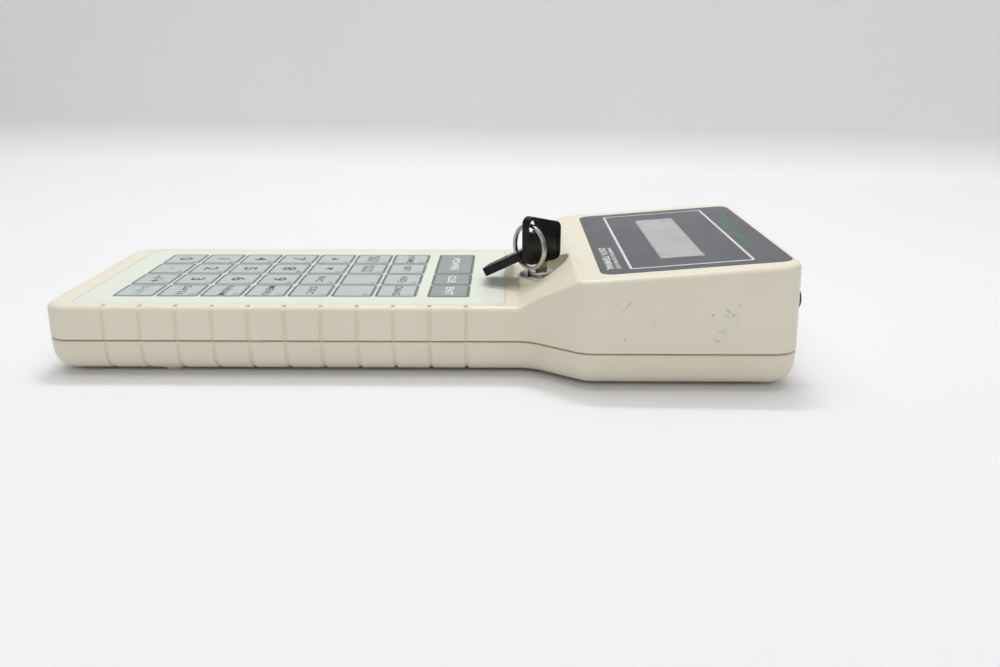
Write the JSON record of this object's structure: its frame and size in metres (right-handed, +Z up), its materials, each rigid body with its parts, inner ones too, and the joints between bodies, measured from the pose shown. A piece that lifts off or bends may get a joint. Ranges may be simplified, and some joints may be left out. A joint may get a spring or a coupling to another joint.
{
  "type": "handheld data collector",
  "caption": "Handheld data collector with a ribbed grip, a flat keypad, a raised display head and a key lock with a split ring and spare key.",
  "frame": {"origin": "middle of the footprint, on the surface the feet stand on", "axes": "+X from the grip to the display head, +Y to the left of a person facing +X, +Z up"},
  "size_m": [0.2512, 0.1088, 0.0499],
  "materials": {
    "top_plastic": "fine grained moulding",
    "base_plastic": "fine grained moulding",
    "foot_rubber": "matt",
    "screw_steel": "zinc plated",
    "inner_plastic": "matt",
    "cell_jacket": "printed jacket",
    "contact_steel": "nickel plated",
    "overlay_plastic": "textured film",
    "circuit_board": "solder mask",
    "panel_plastic": "textured film",
    "window_glass": "clear",
    "lcd": "polariser",
    "lock_chrome": "polished",
    "key_steel": "nickel plated",
    "key_plastic": "satin moulding",
    "ring_steel": "polished",
    "light_key": "textured film",
    "green_key": "textured film",
    "dark_key": "textured film"
  },
  "bodies": {
    "case": {"upper_shell": "top_plastic", "lower_shell": "base_plastic", "rubber_feet": "foot_rubber", "case_screws": "screw_steel", "battery_box": "inner_plastic", "battery_cells": "cell_jacket", "battery_contacts": "contact_steel", "keypad_overlay": "overlay_plastic", "keypad_circuit": "circuit_board", "key_domes": "contact_steel", "display_panel": "panel_plastic", "display_window": "window_glass", "lcd_bezel": "contact_steel", "lcd_glass": "lcd", "lcd_board": "circuit_board", "main_board": "circuit_board", "board_screws": "screw_steel", "lock_barrel": "lock_chrome", "lock_nut": "screw_steel", "lock_switch": "inner_plastic", "charge_socket": "inner_plastic", "socket_nut": "lock_chrome"},
    "cover": {"battery_cover": "base_plastic"},
    "lock_core": {"lock_plug": "lock_chrome", "lock_key_blade": "key_steel", "lock_key_head": "key_plastic"},
    "ring": {"split_ring": "ring_steel"},
    "spare": {"spare_key_head": "key_plastic", "spare_key_blade": "key_steel"},
    "key_digit_0_body": {"key_digit_0": "light_key"},
    "key_point_body": {"key_point": "light_key"},
    "key_sign_body": {"key_sign": "light_key"},
    "key_shift_body": {"key_shift": "green_key"},
    "key_digit_1_body": {"key_digit_1": "light_key"},
    "key_digit_2_body": {"key_digit_2": "light_key"},
    "key_digit_3_body": {"key_digit_3": "light_key"},
    "key_data_body": {"key_data": "light_key"},
    "key_digit_4_body": {"key_digit_4": "light_key"},
    "key_digit_5_body": {"key_digit_5": "light_key"},
    "key_digit_6_body": {"key_digit_6": "light_key"},
    "key_param_body": {"key_param": "light_key"},
    "key_digit_7_body": {"key_digit_7": "light_key"},
    "key_digit_8_body": {"key_digit_8": "light_key"},
    "key_digit_9_body": {"key_digit_9": "light_key"},
    "key_menu_body": {"key_menu": "light_key"},
    "key_up_body": {"key_up": "light_key"},
    "key_down_body": {"key_down": "light_key"},
    "key_increase_body": {"key_increase": "light_key"},
    "key_decrease_body": {"key_decrease": "light_key"},
    "key_function_1_body": {"key_function_1": "light_key"},
    "key_function_2_body": {"key_function_2": "light_key"},
    "key_function_3_body": {"key_function_3": "light_key"},
    "key_function_4_body": {"key_function_4": "light_key"},
    "key_home_body": {"key_home": "light_key"},
    "key_set_body": {"key_set": "light_key"},
    "key_adjust_body": {"key_adjust": "light_key"},
    "key_diagnosis_body": {"key_diagnosis": "light_key"},
    "key_power_body": {"key_power": "dark_key"},
    "key_clear_body": {"key_clear": "dark_key"},
    "key_enter_body": {"key_enter": "dark_key"}
  },
  "joints": [
    {"name": "lock_turn", "type": "hinge", "parent": "case", "child": "lock_core", "pos_m": [0.0416, -0.01525, 0.029], "axis": [0, 0, 1], "range_deg": [-45, 0]},
    {"name": "ring_swing", "type": "hinge", "parent": "lock_core", "child": "ring", "pos_m": [0.03722, -0.01963, 0.0469], "axis": [-0.6494, 0.7604, 0], "range_deg": [-4, 3]},
    {"name": "spare_turn", "type": "hinge", "parent": "ring", "child": "spare", "pos_m": [0.03338, -0.01514, 0.03478], "axis": [0, 0, 1], "range_deg": [0, 45]},
    {"name": "battery_cover_pull", "type": "slide", "parent": "case", "child": "cover", "axis": [0, 0, -1], "range_m": [0, 0.03]},
    {"name": "key_power_press", "type": "slide", "parent": "case", "child": "key_power_body", "axis": [0, 0, -1], "range_m": [0, 0.00035], "stiffness_N_per_m": 4000},
    {"name": "key_enter_press", "type": "slide", "parent": "case", "child": "key_enter_body", "axis": [0, 0, -1], "range_m": [0, 0.00035], "stiffness_N_per_m": 4000},
    {"name": "key_clear_press", "type": "slide", "parent": "case", "child": "key_clear_body", "axis": [0, 0, -1], "range_m": [0, 0.00035], "stiffness_N_per_m": 4000},
    {"name": "key_digit_0_press", "type": "slide", "parent": "case", "child": "key_digit_0_body", "axis": [0, 0, -1], "range_m": [0, 0.00035], "stiffness_N_per_m": 4000},
    {"name": "key_point_press", "type": "slide", "parent": "case", "child": "key_point_body", "axis": [0, 0, -1], "range_m": [0, 0.00035], "stiffness_N_per_m": 4000},
    {"name": "key_sign_press", "type": "slide", "parent": "case", "child": "key_sign_body", "axis": [0, 0, -1], "range_m": [0, 0.00035], "stiffness_N_per_m": 4000},
    {"name": "key_shift_press", "type": "slide", "parent": "case", "child": "key_shift_body", "axis": [0, 0, -1], "range_m": [0, 0.00035], "stiffness_N_per_m": 4000},
    {"name": "key_digit_1_press", "type": "slide", "parent": "case", "child": "key_digit_1_body", "axis": [0, 0, -1], "range_m": [0, 0.00035], "stiffness_N_per_m": 4000},
    {"name": "key_digit_2_press", "type": "slide", "parent": "case", "child": "key_digit_2_body", "axis": [0, 0, -1], "range_m": [0, 0.00035], "stiffness_N_per_m": 4000},
    {"name": "key_digit_3_press", "type": "slide", "parent": "case", "child": "key_digit_3_body", "axis": [0, 0, -1], "range_m": [0, 0.00035], "stiffness_N_per_m": 4000},
    {"name": "key_data_press", "type": "slide", "parent": "case", "child": "key_data_body", "axis": [0, 0, -1], "range_m": [0, 0.00035], "stiffness_N_per_m": 4000},
    {"name": "key_digit_4_press", "type": "slide", "parent": "case", "child": "key_digit_4_body", "axis": [0, 0, -1], "range_m": [0, 0.00035], "stiffness_N_per_m": 4000},
    {"name": "key_digit_5_press", "type": "slide", "parent": "case", "child": "key_digit_5_body", "axis": [0, 0, -1], "range_m": [0, 0.00035], "stiffness_N_per_m": 4000},
    {"name": "key_digit_6_press", "type": "slide", "parent": "case", "child": "key_digit_6_body", "axis": [0, 0, -1], "range_m": [0, 0.00035], "stiffness_N_per_m": 4000},
    {"name": "key_param_press", "type": "slide", "parent": "case", "child": "key_param_body", "axis": [0, 0, -1], "range_m": [0, 0.00035], "stiffness_N_per_m": 4000},
    {"name": "key_digit_7_press", "type": "slide", "parent": "case", "child": "key_digit_7_body", "axis": [0, 0, -1], "range_m": [0, 0.00035], "stiffness_N_per_m": 4000},
    {"name": "key_digit_8_press", "type": "slide", "parent": "case", "child": "key_digit_8_body", "axis": [0, 0, -1], "range_m": [0, 0.00035], "stiffness_N_per_m": 4000},
    {"name": "key_digit_9_press", "type": "slide", "parent": "case", "child": "key_digit_9_body", "axis": [0, 0, -1], "range_m": [0, 0.00035], "stiffness_N_per_m": 4000},
    {"name": "key_menu_press", "type": "slide", "parent": "case", "child": "key_menu_body", "axis": [0, 0, -1], "range_m": [0, 0.00035], "stiffness_N_per_m": 4000},
    {"name": "key_up_press", "type": "slide", "parent": "case", "child": "key_up_body", "axis": [0, 0, -1], "range_m": [0, 0.00035], "stiffness_N_per_m": 4000},
    {"name": "key_down_press", "type": "slide", "parent": "case", "child": "key_down_body", "axis": [0, 0, -1], "range_m": [0, 0.00035], "stiffness_N_per_m": 4000},
    {"name": "key_increase_press", "type": "slide", "parent": "case", "child": "key_increase_body", "axis": [0, 0, -1], "range_m": [0, 0.00035], "stiffness_N_per_m": 4000},
    {"name": "key_decrease_press", "type": "slide", "parent": "case", "child": "key_decrease_body", "axis": [0, 0, -1], "range_m": [0, 0.00035], "stiffness_N_per_m": 4000},
    {"name": "key_function_1_press", "type": "slide", "parent": "case", "child": "key_function_1_body", "axis": [0, 0, -1], "range_m": [0, 0.00035], "stiffness_N_per_m": 4000},
    {"name": "key_function_2_press", "type": "slide", "parent": "case", "child": "key_function_2_body", "axis": [0, 0, -1], "range_m": [0, 0.00035], "stiffness_N_per_m": 4000},
    {"name": "key_function_3_press", "type": "slide", "parent": "case", "child": "key_function_3_body", "axis": [0, 0, -1], "range_m": [0, 0.00035], "stiffness_N_per_m": 4000},
    {"name": "key_function_4_press", "type": "slide", "parent": "case", "child": "key_function_4_body", "axis": [0, 0, -1], "range_m": [0, 0.00035], "stiffness_N_per_m": 4000},
    {"name": "key_home_press", "type": "slide", "parent": "case", "child": "key_home_body", "axis": [0, 0, -1], "range_m": [0, 0.00035], "stiffness_N_per_m": 4000},
    {"name": "key_set_press", "type": "slide", "parent": "case", "child": "key_set_body", "axis": [0, 0, -1], "range_m": [0, 0.00035], "stiffness_N_per_m": 4000},
    {"name": "key_adjust_press", "type": "slide", "parent": "case", "child": "key_adjust_body", "axis": [0, 0, -1], "range_m": [0, 0.00035], "stiffness_N_per_m": 4000},
    {"name": "key_diagnosis_press", "type": "slide", "parent": "case", "child": "key_diagnosis_body", "axis": [0, 0, -1], "range_m": [0, 0.00035], "stiffness_N_per_m": 4000}
  ],
  "couplings": [
    {"joint": "spare_turn", "follows": "lock_turn", "ratio": -1}
  ]
}
